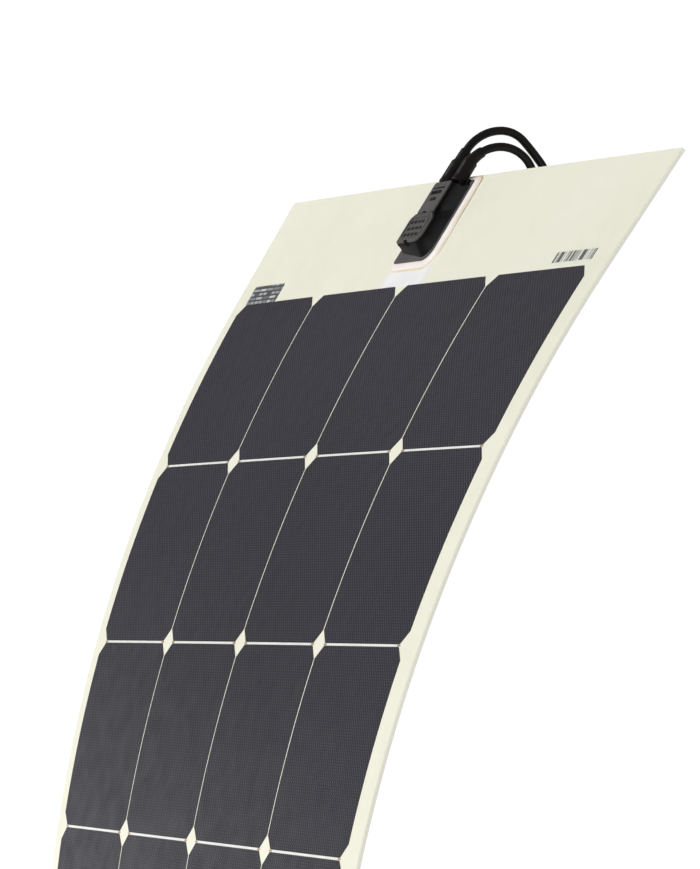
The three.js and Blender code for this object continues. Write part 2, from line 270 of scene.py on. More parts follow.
def silicon_material():
    s = Shader("cell_silicon", (0.024, 0.022, 0.029), 0.42, Specular_IOR_Level=0.17)
    wave = dimples(s)
    drift = s.math("MULTIPLY", s.noise(4, 2), 0.12)
    # The colour follows the dimples' height, lighter on each rise and darker between: painted
    # highlight and shade of the embossed dimples, over a slow random drift of tone.
    shade = s.math("ADD", s.math("MULTIPLY", wave, 0.5), s.math("ADD", drift, 0.44))
    s.colour(s.ramp(shade, (0.45, (0.005, 0.005, 0.008)), (1.0, (0.092, 0.086, 0.112))))
    s.roughness(s.noise(60), 0.38, 0.5)
    s.bump(wave, 0.1 * MM, 0.4)
    return s.material


def face_material():
    s = Shader("front_film", (0.84, 0.84, 0.70), 0.34, Specular_IOR_Level=0.35)
    s.colour(s.ramp(s.noise(9, 4), (0.3, (0.815, 0.805, 0.665)), (0.7, (0.85, 0.84, 0.71))))
    s.roughness(s.noise(90), 0.28, 0.42)
    s.bump(dimples(s), 0.06 * MM, 0.35)
    return s.material


def board_material():
    s = Shader("glass_board", (0.80, 0.80, 0.73), 0.55)
    u, v = s.sheet()
    weave_u = s.math("SINE", s.math("MULTIPLY", u, math.tau / WEAVE))
    weave_v = s.math("SINE", s.math("MULTIPLY", v, math.tau / WEAVE))
    weave = s.math("MULTIPLY", weave_u, weave_v)
    shade = s.math("ADD", s.math("MULTIPLY", weave, 0.10), s.noise(14, 5))
    s.colour(s.ramp(shade, (0.25, (0.755, 0.755, 0.68)), (0.75, (0.815, 0.815, 0.745))))
    s.roughness(s.noise(45), 0.42, 0.66)
    s.bump(weave, 0.08 * MM, 0.5)
    return s.material


def plain_material(name, dark, light, rough, grain, depth, **sockets):
    """A moulded or printed surface: two near colours, a grain in millimetres and its depth."""
    s = Shader(name, dark, rough[0], **sockets)
    fine = s.noise(1 / (grain * MM), 3)
    s.colour(s.ramp(s.noise(70, 4), (0.3, dark), (0.7, light)))
    s.roughness(fine, *rough)
    s.bump(fine, depth * MM, 0.6)
    return s.material


def dark_label_material():
    """A dark label with lines of plain pale dashes."""
    s = Shader("label_dark", (0.05, 0.055, 0.06), 0.4)
    brick = s.node("ShaderNodeTexBrick", offset=0.37, squash=1.6, squash_frequency=2)
    uv = s.node("ShaderNodeUVMap", uv_map="sheet")
    s.link(uv.outputs[0], brick.inputs["Vector"])
    brick.inputs["Scale"].default_value = 1
    brick.inputs["Brick Width"].default_value = DASH_LENGTH
    brick.inputs["Row Height"].default_value = DASH_ROW
    brick.inputs["Mortar Size"].default_value = DASH_MARGIN
    brick.inputs["Color1"].default_value = (0.55, 0.57, 0.55, 1)
    brick.inputs["Color2"].default_value = (0.05, 0.055, 0.065, 1)
    brick.inputs["Mortar"].default_value = (0.045, 0.05, 0.06, 1)
    s.colour(brick.outputs[0])
    s.bump(s.noise(LABEL_GRAIN), LABEL_RELIEF)
    return s.material


def bar_label_material():
    """A pale label with a row of plain dark bars of uneven width."""
    s = Shader("label_bars", (0.8, 0.8, 0.7), 0.4)
    u, v = s.sheet()
    step = s.math("FLOOR", s.math("MULTIPLY", u, 1 / BAR_STEP))
    white = s.node("ShaderNodeTexWhiteNoise", noise_dimensions="1D")
    s.link(step, white.inputs["W"])
    dark = s.math("GREATER_THAN", white.outputs[0], BAR_CUT)
    below_top = s.math("GREATER_THAN", v, BAR_TOP)
    above_bottom = s.math("LESS_THAN", v, BAR_BOTTOM)
    bar = s.math("MULTIPLY", s.math("MULTIPLY", dark, below_top), above_bottom)
    s.colour(s.ramp(bar, (0.0, (0.78, 0.79, 0.68)), (1.0, (0.10, 0.10, 0.10))))
    s.bump(s.noise(LABEL_GRAIN), LABEL_RELIEF)
    return s.material


SILICON = silicon_material()
FACE = face_material()
BOARD = board_material()
DARK_LABEL = dark_label_material()
BAR_LABEL = bar_label_material()
TIN = plain_material("tinned_ribbon", (0.78, 0.80, 0.80), (0.90, 0.91, 0.90), (0.3, 0.5), 0.8,
                     0.02, Metallic=0.15)
COPPER = plain_material("bare_copper", (0.42, 0.27, 0.16), (0.56, 0.38, 0.24), (0.3, 0.5), 0.8,
                        0.02, Metallic=0.5)
TAPE = plain_material("cover_tape", (0.80, 0.80, 0.81), (0.87, 0.87, 0.87), (0.35, 0.55), 1.2,
                      0.02)
SEALANT = plain_material("sealant_bead", (0.80, 0.72, 0.69), (0.86, 0.80, 0.77), (0.3, 0.5), 2.5,
                         0.12)
# The yellowish band along the sealant bead's outer edge: a painted shadow of the bead.
PAINTED_SEALANT_SHADOW = plain_material("sealant_painted_shadow", (0.66, 0.56, 0.38), (0.78, 0.69, 0.51),
                             (0.35, 0.55), 2.0, 0.08)
GLOSS_BLACK = plain_material("box_black", (0.002, 0.002, 0.002), (0.005, 0.004, 0.004),
                             (0.4, 0.54), 0.5, 0.012, Specular_IOR_Level=0.05)
MATT_BLACK = plain_material("lid_charcoal", (0.045, 0.041, 0.040), (0.068, 0.062, 0.060),
                            (0.55, 0.75), 0.45, 0.06)
RUBBER = plain_material("boot_rubber", (0.003, 0.002, 0.002), (0.007, 0.006, 0.005),
                        (0.28, 0.42), 0.7, 0.03, Specular_IOR_Level=0.14)
SHEATH = plain_material("lead_sheath", (0.003, 0.002, 0.002), (0.006, 0.005, 0.004),
                        (0.22, 0.34), 0.9, 0.02, Specular_IOR_Level=0.14)
CONNECTOR = plain_material("connector_black", (0.011, 0.011, 0.011), (0.020, 0.020, 0.019),
                           (0.36, 0.55), 0.4, 0.03)
TIE = plain_material("tie_black", (0.014, 0.014, 0.015), (0.026, 0.026, 0.027), (0.35, 0.5),
                     0.5, 0.03)
EPOXY = plain_material("diode_epoxy", (0.012, 0.012, 0.013), (0.02, 0.02, 0.022), (0.25, 0.4),
                       0.5, 0.02)

# ---------------------------------------------------------------- mesh helpers


def add_piece(name, mesh_data, material, sharp=35):
    """Puts a mesh in the scene, smooth but for edges sharper than this many degrees."""
    mesh_data.materials.append(material)
    mesh_data.shade_smooth()
    mesh_data.set_sharp_from_angle(angle=math.radians(sharp))
    piece = bpy.data.objects.new(name, mesh_data)
    bpy.context.scene.collection.objects.link(piece)
    return piece


def mesh_from(name, parts, place=None):
    """One mesh from (points, faces) parts, with normals made to point outward."""
    build = bmesh.new()
    for points, faces in parts:
        made = [build.verts.new(place @ Vector(p) if place else p) for p in points]
        for face in faces:
            build.faces.new([made[i] for i in face])
    bmesh.ops.recalc_face_normals(build, faces=build.faces)
    data = bpy.data.meshes.new(name)
    build.to_mesh(data)
    build.free()
    return data


def loft(rings, closed_ends=True):
    """(points, faces) of a tube through rings of equally many points."""
    count = len(rings[0])
    points = [p for ring in rings for p in ring]
    faces = []
    for r in range(len(rings) - 1):
        for i in range(count):
            j = (i + 1) % count
            a, b = r * count, (r + 1) * count
            faces.append((a + i, a + j, b + j, b + i))
    if closed_ends:
        faces.append(tuple(reversed(range(count))))
        last = (len(rings) - 1) * count
        faces.append(tuple(last + i for i in range(count)))
    return points, faces


def band(rings):
    """(points, faces) of a closed loop of rings, such as a frame or a bead."""
    points, faces = loft(rings, closed_ends=False)
    count = len(rings[0])
    last = (len(rings) - 1) * count
    for i in range(count):
        j = (i + 1) % count
        faces.append((last + i, last + j, j, i))
    return points, faces


def rounded(corners, steps=7):
    """An outline from (x, y, radius) corners in order round it."""
    outline = []
    total = len(corners)
    for k, (x, y, radius) in enumerate(corners):
        here = Vector((x, y))
        before = (Vector(corners[k - 1][:2]) - here).normalized()
        after = (Vector(corners[(k + 1) % total][:2]) - here).normalized()
        half = before.angle(after) / 2
        centre = here + (before + after).normalized() * radius / math.sin(half)
        start = here + before * radius / math.tan(half) - centre
        turn = start.angle_signed(here + after * radius / math.tan(half) - centre)
        for s in range(steps + 1):
            c, q = math.cos(-turn * s / steps), math.sin(-turn * s / steps)
            outline.append(centre + Vector((start.x * c - start.y * q, start.x * q + start.y * c)))
    return outline


def inset(outline, depth):
    """The outline moved inward by depth."""
    total = len(outline)
    moved = []
    for i, here in enumerate(outline):
        edge = outline[(i + 1) % total] - outline[i - 1]
        moved.append(here + Vector((-edge.y, edge.x)).normalized() * depth)
    return moved


def at_height(outline, z):
    """The outline as a ring of points at this height."""
    return [Vector((p.x, p.y, z)) for p in outline]


EDGE_STEPS = 3


def slab_of(outline, z0, z1, edge):
    """A plate with a rounded upper edge."""
    rings = [at_height(outline, z0), at_height(outline, z1 - edge)]
    for k in range(1, EDGE_STEPS + 1):
        turn = math.pi / 2 * k / EDGE_STEPS
        rings.append(at_height(inset(outline, edge * (1 - math.cos(turn))),
                               z1 - edge + edge * math.sin(turn)))
    return loft(rings)


def block(x0, y0, x1, y1, z0, z1, edge):
    """A box with rounded upper edges and corners."""
    radius = min(edge * 1.5, (x1 - x0) / 2.5, (y1 - y0) / 2.5)
    corners = [(x1, y1, radius), (x0, y1, radius), (x0, y0, radius), (x1, y0, radius)]
    return slab_of(rounded(corners, 3), z0, z1, min(edge, (z1 - z0) / 2))


def tube(points, radii, sides):
    """Rings about a line of points, one radius for each."""
    rings = []
    side = None
    for i, here in enumerate(points):
        ahead = points[min(i + 1, len(points) - 1)] - points[max(i - 1, 0)]
        ahead.normalize()
        if side is None:
            side = ahead.orthogonal()
        side = (side - ahead * side.dot(ahead)).normalized()
        other = ahead.cross(side)
        ring = []
        for k in range(sides):
            turn = math.tau * k / sides
            ring.append(here + (side * math.cos(turn) + other * math.sin(turn)) * radii[i])
        rings.append(ring)
    return loft(rings)


def placed(place, part):
    """A (points, faces) part put in its place."""
    return [place @ p for p in part[0]], part[1]


# ---------------------------------------------------------------- leads

# Knots of a lead's line: in its straight start, in each bend and in each turn of its coil. The
# boot follows a finer line.
START_STEPS = 3
BEND_STEPS, FINE_BEND_STEPS = 5, 16
TURN_STEPS, FINE_TURN_STEPS = 16, 48


def bend(points, radius, start, stop, count):
    """Adds a bend of the lead in the plane across X, from one angle below level to another."""
    first = points[-1]
    for i in range(1, count + 1):
        turn = start + (stop - start) * i / count
        points.append(first + radius * MM * Vector((
            0, math.sin(turn) - math.sin(start), math.cos(turn) - math.cos(start))))


def lead_points(name, fine=False):
    """The lead's line, from the box through its boot, over the header and into its coil."""
    straight = BOOT_LENGTH[name] + TOUCH + LEAD_STRAIGHT
    points = [BOX @ Vector((LEAD_X[name], BOOT_START + straight * k / START_STEPS, LEAD_HEIGHT))
              for k in range(START_STEPS + 1)]
    rise, fall, slope, run, drop = ARCH[name]
    away = math.radians(slope)
    count = FINE_BEND_STEPS if fine else BEND_STEPS
    bend(points, rise, -LEAN, 0, count)
    bend(points, fall, 0, away, count)
    if run:
        points.append(points[-1] + run * MM * Vector((0, math.cos(away), -math.sin(away))))
    bend(points, drop, away, math.pi / 2, count)
    radius = COIL_RADIUS * MM
    plumb = points[-1].copy()
    centre = Vector((plumb.x, plumb.y - radius, COIL_HEIGHT[name] * MM - ORIGIN.z))
    points += [plumb.lerp(Vector((plumb.x, plumb.y, centre.z)), k / 3) for k in (1, 2)]
    per_turn = FINE_TURN_STEPS if fine else TURN_STEPS
    last_turn = COIL_TURNS * math.tau + TAIL_TURN
    steps = round(per_turn * last_turn / math.tau)
    for i in range(steps + 1):
        turn = last_turn * i / steps
        shift = TOWARDS[name] * COIL_PITCH * MM * min(turn / math.tau, COIL_TURNS)
        points.append(centre + Vector((shift, radius * math.cos(turn), -radius * math.sin(turn))))
    leave = points[-1].copy()
    heading = Vector((0, -math.sin(TAIL_TURN), -math.cos(TAIL_TURN)))
    points += [leave + heading * d * MM for d in (TAIL_KNOT, CONNECTOR_GAP + INTO_NUT)]
    return points, centre, leave, heading


def lead_curve(name):
    """The lead itself, with its first point, length, and where its coil and tail lie."""
    points, centre, leave, heading = lead_points(name)
    curve = bpy.data.curves.new(f"solar_lead_{name}", "CURVE")
    curve.dimensions = "3D"
    curve.bevel_depth = CABLE / 2 * MM
    curve.bevel_resolution = 5
    curve.resolution_u = 8
    curve.use_fill_caps = True
    spline = curve.splines.new("BEZIER")
    spline.bezier_points.add(len(points) - 1)
    for knot, point in zip(spline.bezier_points, points):
        knot.co = point
        knot.handle_left_type = knot.handle_right_type = "AUTO"
    curve.materials.append(SHEATH)
    piece = bpy.data.objects.new(f"solar_lead_{name}", curve)
    bpy.context.scene.collection.objects.link(piece)
    length = sum((b - a).length for a, b in zip(points, points[1:]))
    return piece, points[0], length, centre, leave, heading


def along(points, distances):
    """Points at these distances along a line of points."""
    found = []
    for wanted in distances:
        gone = 0
        for a, b in zip(points, points[1:]):
            step = (b - a).length
            if gone + step >= wanted:
                found.append(a.lerp(b, (wanted - gone) / step))
                break
            gone += step
    return found


BOOT_WIDE = 18.0                  # length of the boot's wide part
BOOT_NARROW = 9.5                 # and of its narrow part
BOOT_SIDES = 28


def boot(name):
    """A stepped rubber boot that bends with its lead."""
    points = lead_points(name, fine=True)[0]
    end = BOOT_WIDE + BOOT_NARROW
    # Distance along the lead and radius, in millimetres.
    profile = [(0.0, 4.4), (0.3, 5.05), (1.8, 5.05), (2.1, 4.85)]
    profile += [(2.1 + (BOOT_WIDE - 3.6) * k / 5, 4.85 - 0.02 * k) for k in range(1, 6)]
    profile += [(BOOT_WIDE - 0.9, 4.6), (BOOT_WIDE - 0.2, 4.1), (BOOT_WIDE + 0.3, 3.85)]
    profile += [(BOOT_WIDE + 0.3 + (end - BOOT_WIDE - 1.2) * k / 6, 3.85 - 0.05 * k)
                for k in range(1, 7)]
    profile += [(end - 0.5, 3.4), (end, 3.1), (end + 0.05, 2.6)]
    line = along(points, [d * MM for d, _ in profile])
    radii = [r * MM for _, r in profile]
    data = mesh_from(f"lead_boot_{name}", [tube(line, radii, BOOT_SIDES)])
    return add_piece(f"lead_boot_{name}", data, RUBBER, 40)


TIE_SIDES = 32
TIE_HALF_WIDTH = 2.3 * MM
TIE_THICK = 1.1 * MM
TIE_GAP = 0.3 * MM
TIE_TURNS = (0.25 * math.pi, 1.25 * math.pi)


def tie(name, centre, turn, index):
    """A flat tie round the three turns of a coil, with its buckle on the outside."""
    radius = COIL_RADIUS * MM
    out = Vector((0, math.cos(turn), -math.sin(turn)))
    ahead = Vector((0, -math.sin(turn), -math.cos(turn)))
    side = Vector((TOWARDS[name], 0, 0))
    first = COIL_PITCH * turn / math.tau
    middle = centre + out * radius + side * (first + COIL_PITCH) * MM
    half = (COIL_PITCH + CABLE / 2) * MM
    high = CABLE / 2 * MM
    outline = []
    for k in range(TIE_SIDES):
        angle = math.tau * k / TIE_SIDES
        x = math.copysign(abs(math.cos(angle)) ** 0.6, math.cos(angle)) * (half + TIE_GAP)
        y = math.copysign(abs(math.sin(angle)) ** 0.8, math.sin(angle)) * (high + TIE_GAP)
        outline.append((x, y))
    rings = []
    for forward, grow in ((-TIE_HALF_WIDTH, 0), (-TIE_HALF_WIDTH, TIE_THICK),
                          (TIE_HALF_WIDTH, TIE_THICK), (TIE_HALF_WIDTH, 0)):
        ring = []
        for x, y in outline:
            away = Vector((x / half, y / high)).normalized() * grow
            ring.append(middle + side * (x + away.x) + out * (y + away.y) + ahead * forward)
        rings.append(ring)
    axes = Matrix((side, out.cross(side), out)).transposed().to_4x4()
    place = Matrix.Translation(middle + out * high) @ axes @ Matrix.Scale(MM, 4)
    buckle = placed(place, block(-2.6, -3.2, 2.6, 3.2, 0.2, 3.4, 0.6))
    data = mesh_from(f"coil_tie_{name}_{index}", [band(rings), buckle])
    return add_piece(f"coil_tie_{name}_{index}", data, TIE)


NUT_RIBS = 14
CONNECTOR_SIDES = 84
PIN_SIDES = 20


def connector(name, leave, heading):
    """A push-and-lock connector: ribbed nut, body with a shoulder, and its socket or pin end."""
    female = name == "outer"
    # Distance along the connector, radius and rib height, in millimetres.
    nut = [(0, 3.1, 0), (0.4, 3.6, 0), (5.4, 3.9, 0), (6, 5.4, 0), (6.6, 7.0, 0)]
    nut += [(9, 7.9, 0.35), (10, 8.0, 0.42), (20.6, 8.0, 0.42), (21.6, 7.6, 0)]
    body = [(22, 6.0, 0), (22.6, 6.6, 0), (24, 6.8, 0), (38, 6.8, 0), (38.6, 7.2, 0)]
    if female:
        nose = [(40, 7.2, 0), (40.6, 6.7, 0), (46, 6.7, 0), (47, 5.3, 0), (60.6, 5.1, 0),
                (61.8, 4.6, 0), (61.8, 2.4, 0), (50, 2.3, 0)]
    else:
        nose = [(42, 7.4, 0), (57.4, 7.4, 0), (57.8, 7.0, 0), (57.8, 5.9, 0), (44, 5.8, 0)]
    profile = nut + body + nose
    start = leave + heading * CONNECTOR_GAP * MM
    parts = [turned(start, heading, profile, CONNECTOR_SIDES)]
    side = Vector((1, 0, 0))
    other = heading.cross(side)
    for sign in (-1, 1):
        axes = Matrix((other, heading, side * sign)).transposed().to_4x4()
        place = Matrix.Translation(start) @ axes @ Matrix.Scale(MM, 4)
        if female:
            lug = block(-2.0, 40.5, 2.0, 46.5, 5.8, 7.5, 0.3)
        else:
            lug = block(-1.7, 40.0, 1.7, 56.0, 6.9, 8.1, 0.3)
        parts.append(placed(place, lug))
    if not female:
        pin = [(43, 1.6, 0), (55, 1.6, 0), (56, 1.0, 0)]
        parts.append(turned(start, heading, pin, PIN_SIDES))
    data = mesh_from(f"lead_connector_{name}", parts)
    return add_piece(f"lead_connector_{name}", data, CONNECTOR, 30)


def turned(start, heading, profile, sides):
    """A piece turned about heading, from (distance, radius, rib height) in millimetres."""
    side = Vector((1, 0, 0))
    other = heading.cross(side)
    rings = []
    for distance, radius, rib in profile:
        ring = []
        for k in range(sides):
            turn = math.tau * k / sides
            reach = (radius + rib * math.cos(NUT_RIBS * turn)) * MM
            ring.append(start + heading * distance * MM
                        + (side * math.cos(turn) + other * math.sin(turn)) * reach)
        rings.append(ring)
    return loft(rings)


def add_lead(name):
    """A whole lead with its boot, connector and ties, all on the header."""
    cable, exit_point, length, centre, leave, heading = lead_curve(name)
    sleeve = boot(name)
    plug = connector(name, leave, heading)
    ties = [tie(name, centre, turn, i) for i, turn in enumerate(TIE_TURNS, 1)]
    for piece in (cable, sleeve, plug, *ties):
        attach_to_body(piece, "header")
    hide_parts(f"lead_{name}", f"lead_coil_{name}")
    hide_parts(f"boot_{name}")
    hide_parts(f"connector_{name}")


add_lead("outer")
add_lead("inner")

# ---------------------------------------------------------------- laminate

# The laminate is drawn in zones, from (body, next body, top, bottom). The header and the foot ride
# one body. Each zone between them reaches from one body to the next, the first over row 1 and the
# others over two rows each; these ride no body and only have their transform applied.
STIFF_END = -12 * MM              # where the header stops being stiff
BODIES = ["header", "segment_1", "segment_2", "segment_3", "segment_4"]
ZONE_EDGES = [STIFF_END] + [FIRST_ROW + r * PITCH - CELL_GAP / 2 for r in (1, 3, 5, 7)]
ZONES = [(BODIES[0], None, -HEADER, STIFF_END)]
ZONES += zip(BODIES, BODIES[1:], ZONE_EDGES, ZONE_EDGES[1:])
ZONES.append((BODIES[-1], None, ZONE_EDGES[-1], BOTTOM))


def attach(piece, zone):
    """Rides one body, or, in a zone between two bodies, keeps its place with its transform applied.
    """
    first, second, top, bottom = zone
    if second is None:
        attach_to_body(piece, first)
    else:
        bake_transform(piece)


def zone_at(v):
    """The zone that holds this place down the sheet."""
    return next(z for z in ZONES if v <= z[3] or z is ZONES[-1])


def set_sheet_uv(data, coordinates):
    """Writes each vertex's place on the sheet, in metres, as its UV."""
    layer = data.uv_layers.new(name="sheet")
    for loop in data.loops:
        layer.data[loop.index].uv = coordinates[loop.vertex_index]


def sheet_grid(name, rows, profile_of, material):
    """A closed slab of the sheet. rows is v stations, profile_of(v) its (u, w) loop there."""
    rings, coordinates = [], []
    for v in rows:
        loop = profile_of(v)
        rings.append([on_sheet(u, v, w) for u, w in loop])
        coordinates += [(u, v) for u, _ in loop]
    data = mesh_from(name, [loft(rings)])
    set_sheet_uv(data, coordinates)
    return add_piece(name, data, material, 30)


def flat_profile(u0, u1, back, front, columns, edge):
    """A cross-section of a slab, its front long edges rounded off."""
    us = [u0 + (u1 - u0) * i / columns for i in range(columns + 1)]
    top = [(u, front) for u in us]
    top[0] = (u0 + edge, front)
    top[-1] = (u1 - edge, front)
    base = [(u, back) for u in reversed(us)]
    return [(u0, front - edge)] + top + [(u1, front - edge)] + base


STATION_STEP = 10.65 * MM         # between the laminate's stations
LAMINATE_COLUMNS = 24


def stations(top, bottom):
    """Even places down the sheet from top to bottom."""
    count = max(2, round((bottom - top) / STATION_STEP))
    return [top + (bottom - top) * i / count for i in range(count + 1)]


BOARD_FRONT = -1.25 * MM
BOARD_GAP = 0.01 * MM             # between the board and the face on it
FACE_EDGE = 0.35 * MM
BOARD_EDGE = 0.15 * MM


def laminate(k, zone):
    """One zone of the sheet: its white face and the glass board under it."""
    rows = stations(zone[2], zone[3])
    left, right = -WIDTH / 2, WIDTH / 2
    face = sheet_grid(f"front_laminate_{k}", rows, lambda v: flat_profile(
        left, right, BOARD_FRONT, 0, LAMINATE_COLUMNS, FACE_EDGE), FACE)
    board = sheet_grid(f"glass_board_{k}", rows, lambda v: flat_profile(
        left, right, -THICK, BOARD_FRONT - BOARD_GAP, LAMINATE_COLUMNS, BOARD_EDGE), BOARD)
    names = [body.removeprefix("segment_") for body in zone[:2] if body]
    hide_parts(*[f"front_film_{s}" for s in names])
    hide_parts(*[f"back_board_{s}" for s in names])
    attach(face, zone)
    attach(board, zone)


for k, zone in enumerate(ZONES):
    laminate(k, zone)

CELL_FRONT, CELL_BACK = 0.12 * MM, -0.4 * MM
CELL_EDGE = 0.1 * MM
CELL_COLUMNS = 6
CELL_STEPS = 12
CELL_SPREAD = 0.2 * MM            # past the nominal side: the lines between columns are narrower


def cell(row, column):
    """One silicon cell with its cut corners."""
    u0 = CELLS_LEFT + column * PITCH
    v0 = FIRST_ROW + row * PITCH
    offsets = [CELL * i / CELL_STEPS for i in range(CELL_STEPS + 1)]
    offsets = sorted(offsets + [CELL_CORNER, CELL - CELL_CORNER])

    def profile(v):
        offset = v - v0
        cut = max(0, CELL_CORNER - offset, CELL_CORNER - (CELL - offset)) - CELL_SPREAD
        return flat_profile(u0 + cut, u0 + CELL - cut, CELL_BACK, CELL_FRONT, CELL_COLUMNS,
                            CELL_EDGE)

    name = f"silicon_cell_r{row + 1}c{column + 1}"
    piece = sheet_grid(name, [v0 + o for o in offsets], profile, SILICON)
    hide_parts(f"cell_r{row + 1}c{column + 1}")
    attach(piece, zone_at(v0 + CELL / 2))


for row in range(ROWS):
    for column in range(COLUMNS):
        cell(row, column)


TAB = 4.5 * MM                    # bare end of a row ribbon, past the pad that it is soldered to
RIBBON_INSET = 0.25 * MM          # from the edge of each cell
RIBBON_REACH = 1.5 * MM           # past where the cells' corners are cut
RIBBON_FRONT, RIBBON_BACK = 0.09 * MM, -0.3 * MM
RIBBON_EDGE = 0.05 * MM
RIBBON_COLUMNS = 6


def row_ribbon(row):
    """The tinned ribbons that join each cell to the one below it, with their ends left bare."""
    v1 = FIRST_ROW + (row + 1) * PITCH - RIBBON_INSET
    v0 = v1 - CELL_GAP + 2 * RIBBON_INSET
    parts, coordinates, bare = [], [], []
    for column in range(COLUMNS):
        left = CELLS_LEFT + column * PITCH + CELL_CORNER - RIBBON_REACH
        right = CELLS_LEFT + column * PITCH + CELL - CELL_CORNER + RIBBON_REACH
        for u0, u1, is_bare in ((left, left + TAB, True), (left + TAB, right - TAB, False),
                                (right - TAB, right, True)):
            rings = []
            for v in (v0, v1):
                loop = flat_profile(u0, u1, RIBBON_BACK, RIBBON_FRONT, RIBBON_COLUMNS,
                                    RIBBON_EDGE)
                rings.append([on_sheet(u, v, w) for u, w in loop])
                coordinates += [(u, v) for u, _ in loop]
            parts.append(loft(rings))
            bare += [is_bare] * len(parts[-1][1])
    data = mesh_from(f"row_ribbon_{row + 1}", parts)
    set_sheet_uv(data, coordinates)
    piece = add_piece(f"row_ribbon_{row + 1}", data, TIN)
    data.materials.append(COPPER)
    for face, is_bare in zip(data.polygons, bare):
        face.material_index = int(is_bare)
    attach(piece, zone_at(v0 if row % 2 == 0 else v1 + CELL_GAP))


for row in range(ROWS - 1):
    row_ribbon(row)

# ---------------------------------------------------------------- junction box

# In millimetres, x across the header from the box's middle, y up it and z out of its front.
FLANGE_BACK, FLANGE_FRONT = 0.75, 2.7
FLANGE_X, FLANGE_Y = 24.0, 31.75
FLANGE_SLANT = 1.8                # how far its lower right corner stands out
BODY_TOP = 9.3
LID_BACK, LID_FRONT = 9.45, 10.7
BODY_X = -2.2
NECK_LEFT, NECK_RIGHT, NECK_TOP = BODY_X - 12.2, BODY_X + 12.2, 27.0
HEAD_LEFT, HEAD_RIGHT = BODY_X - 16.8, BODY_X + 16.8
HEAD_TOP, HEAD_BOTTOM = 1.5, -22.0

# Outlines of the body under the lids and at the flange, as (x, y, radius) corners.
BODY_OUTLINE = [
    (NECK_RIGHT, NECK_TOP, 1.5), (NECK_LEFT, NECK_TOP, 2.5), (NECK_LEFT, HEAD_TOP + 1.5, 1.5),
    (HEAD_LEFT, HEAD_TOP - 3.5, 3.0), (HEAD_LEFT, HEAD_BOTTOM, 2.2),
    (HEAD_RIGHT, HEAD_BOTTOM, 8.0), (HEAD_RIGHT, HEAD_TOP - 3.5, 3.0),
    (NECK_RIGHT, HEAD_TOP + 1.5, 1.5),
]
# At the lower right the foot reaches further down and out than at the left: black body spread where
# the box's shadow falls on the flange, a painted shadow in shape.
FOOT_OUTLINE = [
    (22.6, 28.0, 2.0), (-21.8, 28.0, 2.0), (-22.0, 9.0, 6.0), (-21.8, 0.0, 6.0),
    (-20.0, -23.5, 5.0), (24.6, -31.0, 9.5), (23.4, 0.0, 6.0), (23.0, 9.0, 6.0),
]
BODY_RINGS = 9
BODY_FLARE = 1.35                 # above 1, the sides steepen towards the top


def box_piece(name, parts, material, *stands_for, slot, sharp=35):
    """A piece on the box, which rides the header."""
    piece = add_piece(name, mesh_from(name, parts, BOX), material, sharp)
    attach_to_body(piece, "header")
    if stands_for:
        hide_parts(*stands_for)


def box_body():
    """The flange, and the body on it, which narrows from its foot to the lids."""
    top = rounded(BODY_OUTLINE)
    foot = rounded(FOOT_OUTLINE)
    rings = [at_height(foot, FLANGE_BACK + 0.2), at_height(foot, FLANGE_FRONT)]
    for k in range(1, BODY_RINGS + 1):
        rise = k / BODY_RINGS
        spread = 1 - (1 - rise) ** BODY_FLARE
        ring = [a.lerp(b, spread) for a, b in zip(foot, top)]
        rings.append(at_height(ring, FLANGE_FRONT + (BODY_TOP - 0.5 - FLANGE_FRONT) * rise))
    rings.append(at_height(inset(top, 0.15), BODY_TOP - 0.12))
    rings.append(at_height(inset(top, 0.5), BODY_TOP))
    rings.append(at_height(inset(top, 1.3), BODY_TOP))
    rings.append(at_height(inset(top, 1.35), BODY_TOP - 0.9))
    flange = rounded([(FLANGE_X, FLANGE_Y, 2.5), (-FLANGE_X, FLANGE_Y, 3),
                      (-FLANGE_X, -FLANGE_Y, 2), (FLANGE_X + FLANGE_SLANT, -FLANGE_Y, 9)])
    box_piece("junction_box_flange", [slab_of(flange, FLANGE_BACK, FLANGE_FRONT, 0.3)],
              MATT_BLACK, slot="box_plastic")
    latches = [
        block(NECK_RIGHT - 0.3, 4.4, NECK_RIGHT + 1.1, 7.4, 7.0, 9.8, 0.35),
        block(NECK_RIGHT + 0.4, 0.6, NECK_RIGHT + 2.2, 2.4, 6.8, 9.4, 0.35),
        block(BODY_X - 5.0, HEAD_BOTTOM - 0.7, BODY_X, HEAD_BOTTOM + 0.5, 7.0, 9.0, 0.3),
        block(NECK_RIGHT + 4.6, NECK_TOP - 1.4, NECK_RIGHT + 7.0, NECK_TOP + 2.2, 4.0, 7.4, 0.4),
    ]
    ribs = [block(x - 0.45, NECK_TOP - 0.5, x + 0.45, FLANGE_Y - 0.6, FLANGE_FRONT - 0.2, 4.4, 0.2)
            for x in (-18.0, 1.5, 19.5)]
    box_piece("junction_box_body", [loft(rings), *latches, *ribs], GLOSS_BLACK, "box_base",
              slot="box_plastic")


